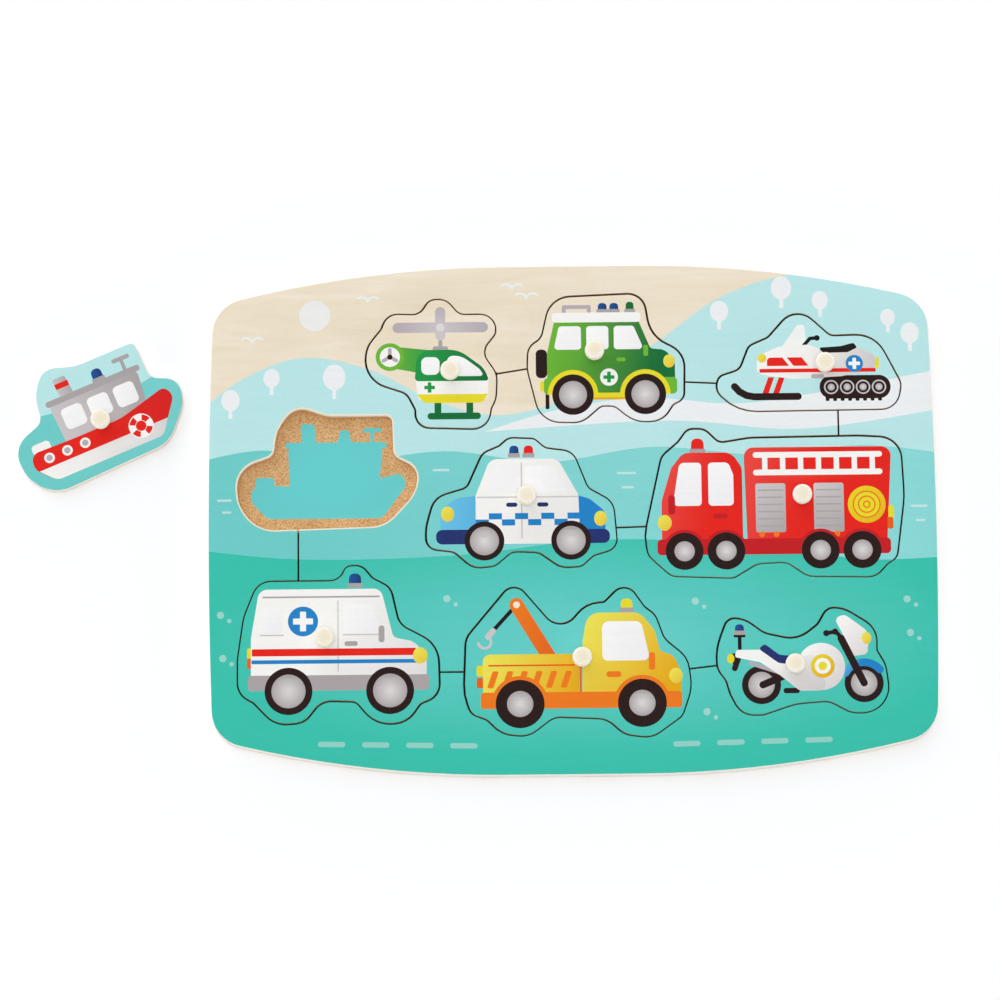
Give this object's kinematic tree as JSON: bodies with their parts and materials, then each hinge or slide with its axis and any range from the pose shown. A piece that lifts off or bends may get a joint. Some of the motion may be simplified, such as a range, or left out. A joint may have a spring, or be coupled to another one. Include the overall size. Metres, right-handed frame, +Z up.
{
  "type": "peg puzzle",
  "caption": "Flat wooden board with bowed edges and recesses that hold vehicle-shaped pieces, each lifted out by a turned peg.",
  "frame": {"origin": "middle of the board's underside", "axes": "+Z up out of the printed face, +X along the long edge, +Y to the far long edge"},
  "size_m": [0.3791, 0.2134, 0.018],
  "materials": {
    "front_print": "satin",
    "fibreboard": "matte",
    "boat_print": "satin",
    "helicopter_print": "satin",
    "off_road_car_print": "satin",
    "snowmobile_print": "satin",
    "police_car_print": "satin",
    "fire_engine_print": "satin",
    "ambulance_print": "satin",
    "tow_truck_print": "satin",
    "motorbike_print": "satin",
    "peg_wood": "satin"
  },
  "bodies": {
    "board": {"front_board": "front_print", "backing_board": "fibreboard"},
    "boat_piece": {"boat": "boat_print", "boat_peg": "peg_wood"},
    "helicopter_piece": {"helicopter": "helicopter_print", "helicopter_peg": "peg_wood"},
    "off_road_car_piece": {"off_road_car": "off_road_car_print", "off_road_car_peg": "peg_wood"},
    "snowmobile_piece": {"snowmobile": "snowmobile_print", "snowmobile_peg": "peg_wood"},
    "police_car_piece": {"police_car": "police_car_print", "police_car_peg": "peg_wood"},
    "fire_engine_piece": {"fire_engine": "fire_engine_print", "fire_engine_peg": "peg_wood"},
    "ambulance_piece": {"ambulance": "ambulance_print", "ambulance_peg": "peg_wood"},
    "tow_truck_piece": {"tow_truck": "tow_truck_print", "tow_truck_peg": "peg_wood"},
    "motorbike_piece": {"motorbike": "motorbike_print", "motorbike_peg": "peg_wood"}
  },
  "joints": [
    {"name": "boat_lift", "type": "slide", "parent": "board", "child": "boat_piece", "axis": [0, 0, 1], "range_m": [0, 0.04]},
    {"name": "helicopter_lift", "type": "slide", "parent": "board", "child": "helicopter_piece", "axis": [0, 0, 1], "range_m": [0, 0.04]},
    {"name": "off_road_car_lift", "type": "slide", "parent": "board", "child": "off_road_car_piece", "axis": [0, 0, 1], "range_m": [0, 0.04]},
    {"name": "snowmobile_lift", "type": "slide", "parent": "board", "child": "snowmobile_piece", "axis": [0, 0, 1], "range_m": [0, 0.04]},
    {"name": "police_car_lift", "type": "slide", "parent": "board", "child": "police_car_piece", "axis": [0, 0, 1], "range_m": [0, 0.04]},
    {"name": "fire_engine_lift", "type": "slide", "parent": "board", "child": "fire_engine_piece", "axis": [0, 0, 1], "range_m": [0, 0.04]},
    {"name": "ambulance_lift", "type": "slide", "parent": "board", "child": "ambulance_piece", "axis": [0, 0, 1], "range_m": [0, 0.04]},
    {"name": "tow_truck_lift", "type": "slide", "parent": "board", "child": "tow_truck_piece", "axis": [0, 0, 1], "range_m": [0, 0.04]},
    {"name": "motorbike_lift", "type": "slide", "parent": "board", "child": "motorbike_piece", "axis": [0, 0, 1], "range_m": [0, 0.04]}
  ]
}
